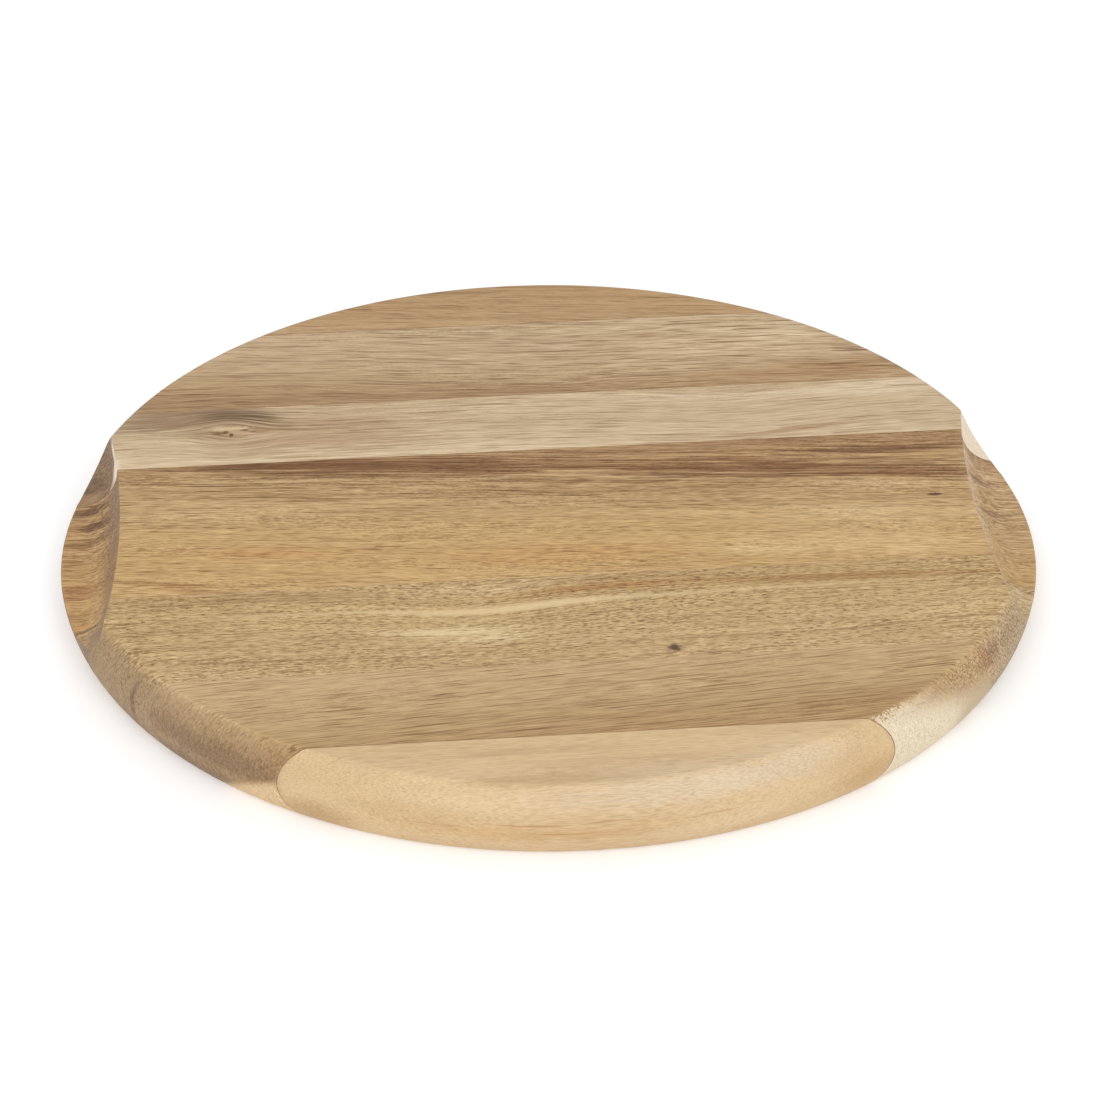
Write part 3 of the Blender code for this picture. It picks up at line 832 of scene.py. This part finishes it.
nearEdge = dict(
    node="stave_7_near_edge", seed=7, slope=0.0, lean=0.0, wander=1.5,
    pith=(-120, -50), ring=6.0, tall=1.0, fine=5.0,
    tones=[(0.0, (208, 180, 138)), (0.5, (207, 179, 138)), (1.0, (204, 176, 137))],
    patches=[
        dict(at=(-10, -137, 25), size=(50, 3, 10), tone=(188, 157, 116), cover=0.45),
        dict(at=(66, -132, 25), size=(42, 5, 8), tone=(194, 165, 126), cover=0.4, fray=1.2),
        dict(at=(10, -144.5, 25), size=(50, 7, 8), tone=(192, 162, 122), cover=0.45, fray=1.4),
        dict(at=(-15, -160, 10), size=(80, 30, 5), tone=(194, 158, 109), cover=0.6, fray=1.5),
        # painted sheen highlight: a pale patch high on the front rim
        dict(at=(-48, -154, 19), size=(50, 12, 5), tone=(206, 184, 146), cover=0.4, fray=1.0),
        dict(at=(-52, -150, 14.5), size=(46, 16, 6), tone=(190, 160, 116), cover=0.45, fray=1.0),
        dict(at=(-12, -152, 25.5), size=(46, 5, 2.2), tone=(182, 152, 113), cover=0.6, fray=0.8),
        # painted sheen highlight: two pale patches high on the front rim
        dict(at=(28, -154, 21.5), size=(62, 14, 6.5), tone=(208, 190, 164), cover=0.6, fray=1.0),
        dict(at=(64, -146, 21), size=(34, 16, 6.5), tone=(206, 186, 160), cover=0.6, fray=1.0),
        dict(at=(44, -156, 8), size=(42, 14, 8), tone=(214, 191, 153), cover=0.5, fray=1.0),
        dict(at=(88, -135, 8), size=(24, 14, 9), tone=(190, 155, 110), cover=0.7, fray=1.0),
        dict(at=(-86, -137, 5), size=(24, 14, 8), tone=(180, 147, 103), cover=0.75, fray=1.0),
        dict(at=(80, -140, 16.5), size=(22, 14, 7), tone=(194, 164, 125), cover=0.45, fray=1.0),
    ],
    veins=[
        dict(at=(4, -159.5, 14.2), size=(10, 5, 0.6), tone=(164, 122, 80), cover=0.45, fray=1.2),
        dict(at=(-20, -158.5, 13.4), size=(18, 5, 0.6), tone=(164, 122, 80), cover=0.55, fray=1.4),
        dict(at=(-12, -159, 10.2), size=(13, 5, 0.6), tone=(168, 126, 82), cover=0.5, fray=1.4),
        dict(at=(-47, -153, 11.6), size=(16, 6, 0.6), tone=(170, 130, 88), cover=0.45, fray=1.4),
        dict(at=(36, -156, 12.2), size=(16, 5, 0.6), tone=(174, 134, 92), cover=0.45, fray=1.4),
        dict(at=(-30, -137.5, 25), size=(26, 0.8, 8), tone=(176, 144, 104), cover=0.4, fray=1.0),
    ],
    figure=[(0.0, 1.0), (1.0, 1.0)],
    fibre=0.85, line=0.06, band=0.06, broad=0.3, fleck=0.3, rings=0.1,
    scratch=0.1, gleam=0.1, dash=5, pores=0.16, keep=0.9, speck=0.2,
    leftEndTintAndShade=(0.97, 0.97, 0.97), rightEnd=(0.97, 0.96, 0.94),
)
for stave in (farEdge, pored, sapwood, heartwood, interlocked, straight, nearEdge):
    node = stave["node"]
    low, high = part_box(node)
    spread = math.degrees(math.asin(min(high.y / radius, 1)) - math.asin(max(low.y / radius, -1)))
    mesh = boardSlice(node, low.y, high.y, int(spread / rowTurn) + 2)
    addPiece(node + "_wood", mesh, woodMaterial(stave, high.y * perMetre, low.y * perMetre), node)
    print(node, len(mesh.polygons), "faces")

# A hairline of glue in each joint, from far to near, darker where it is thicker and on the end grain
glue = dict(
    tones=[(148, 112, 74), (148, 112, 74), (148, 112, 74), (186, 156, 114), (186, 156, 114), (148, 112, 74)],
    roughness=0.6,
    patches=(60.0, 60.0, 200.0),  # in a metre, along, across and down
    cut=(0.35, 0.65),  # noise at which a thick patch gives way to a thin one
    thick=(0.76, 0.74, 0.71, 1),
    thin=(1.2, 1.23, 1.3, 1),
    endGrain=(0.72, 0.70, 0.75, 1),
)


def glueMaterial(name, seed, tone):
    material = plainMaterial(name, tone, glue["roughness"])
    tree = material.node_tree
    w = wiring(tree)
    where = tree.nodes.new("ShaderNodeTexCoord")
    place = w.vector("MULTIPLY_ADD", where.outputs["Object"], glue["patches"], (seed, seed, seed))
    thinness = w.smooth(w.noise(place, 2.0), *glue["cut"])
    colour = w.mix(1.0, linear(tone), w.mix(thinness, glue["thick"], glue["thin"]), "MULTIPLY")
    normalX, _, _ = w.split(where.outputs["Normal"])
    facing = w.smooth(w.calc("ABSOLUTE", normalX), *wood["endGrain"])
    w.feed(tree.nodes["Principled BSDF"].inputs["Base Color"], w.stain(facing, colour, glue["endGrain"]))
    return material


for i, tone in enumerate(glue["tones"], 1):
    node = f"glue_line_{i}_{i + 1}"
    low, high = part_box(node)
    mesh = boardSlice(node, low.y, high.y, 2)
    addPiece(node + "_film", mesh, glueMaterial(node + "_film", i, tone), node)
print("glue lines")

# The floor: one square, a hair below the board
ground = dict(half=4, drop=0.0001, tone=(226, 226, 226), roughness=0.9, glow=0.3)
corners = [(-1, -1), (1, -1), (1, 1), (-1, 1)]
floorMesh = bpy.data.meshes.new("floor")
floorPoints = [(x * ground["half"], y * ground["half"], -ground["drop"]) for x, y in corners]
floorMesh.from_pydata(floorPoints, [], [(0, 1, 2, 3)])
floorMaterial = plainMaterial("floor", ground["tone"], ground["roughness"])
floorShader = floorMaterial.node_tree.nodes["Principled BSDF"]
floorShader.inputs["Emission Color"].default_value = (1, 1, 1, 1)
floorShader.inputs["Emission Strength"].default_value = ground["glow"]
floorMesh.materials.append(floorMaterial)
floor = bpy.data.objects.new("floor", floorMesh)
scene.collection.objects.link(floor)
floor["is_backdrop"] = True
print("floor")


# Direction from the board: azimuth goes round from the near side towards +X, elevation up from level
def outward(azimuth, elevation):
    a, e = math.radians(azimuth), math.radians(elevation)
    return Vector((math.sin(a) * math.cos(e), -math.cos(a) * math.cos(e), math.sin(e)))


# Light: a white surround and one large soft lamp
studio = dict(surround=0.81, azimuth=-4, elevation=42, distance=2.6, size=2.4, power=30)
world = bpy.data.worlds.new("studio")
world.use_nodes = True
background = world.node_tree.nodes["Background"]
background.inputs["Color"].default_value = (1, 1, 1, 1)
background.inputs["Strength"].default_value = studio["surround"]
scene.world = world
lamp = bpy.data.lights.new("key", "AREA")
lamp.shape = "SQUARE"
lamp.size = studio["size"]
lamp.energy = studio["power"]
away = outward(studio["azimuth"], studio["elevation"])
light = bpy.data.objects.new("key", lamp)
light.location = away * studio["distance"]
light.rotation_euler = away.to_track_quat("Z", "Y").to_euler()
scene.collection.objects.link(light)
scene.view_settings.view_transform = "Standard"
print("light")

# Camera, from the outline, the joints and the grips in the photo. Pan, tilt and roll are small, in degrees,
# and turn the view from the middle of the underside.
shot = dict(
    azimuth=-5.223, elevation=32.387, distance=1.472, pan=-0.019, tilt=0.337, roll=0.108,
    lens=145.69, sensor=36, clip=(0.01, 50),
)
back = outward(shot["azimuth"], shot["elevation"])
right = (-back).cross(Vector((0, 0, 1))).normalized()
up = right.cross(-back)
pan = Matrix.Rotation(math.radians(shot["pan"]), 3, up)
tilt = Matrix.Rotation(math.radians(shot["tilt"]), 3, right)
aim = pan @ tilt
lookBack = aim @ back
roll = Matrix.Rotation(math.radians(shot["roll"]), 3, -lookBack)
axes = Matrix((roll @ aim @ right, roll @ aim @ up, lookBack)).transposed()
cameraData = bpy.data.cameras.new("camera")
cameraData.lens = shot["lens"]
cameraData.sensor_width = shot["sensor"]
cameraData.clip_start, cameraData.clip_end = shot["clip"]
camera = bpy.data.objects.new("camera", cameraData)
camera.matrix_world = Matrix.Translation(back * shot["distance"]) @ axes.to_4x4()
scene.collection.objects.link(camera)
scene.camera = camera
print("camera")

low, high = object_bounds()
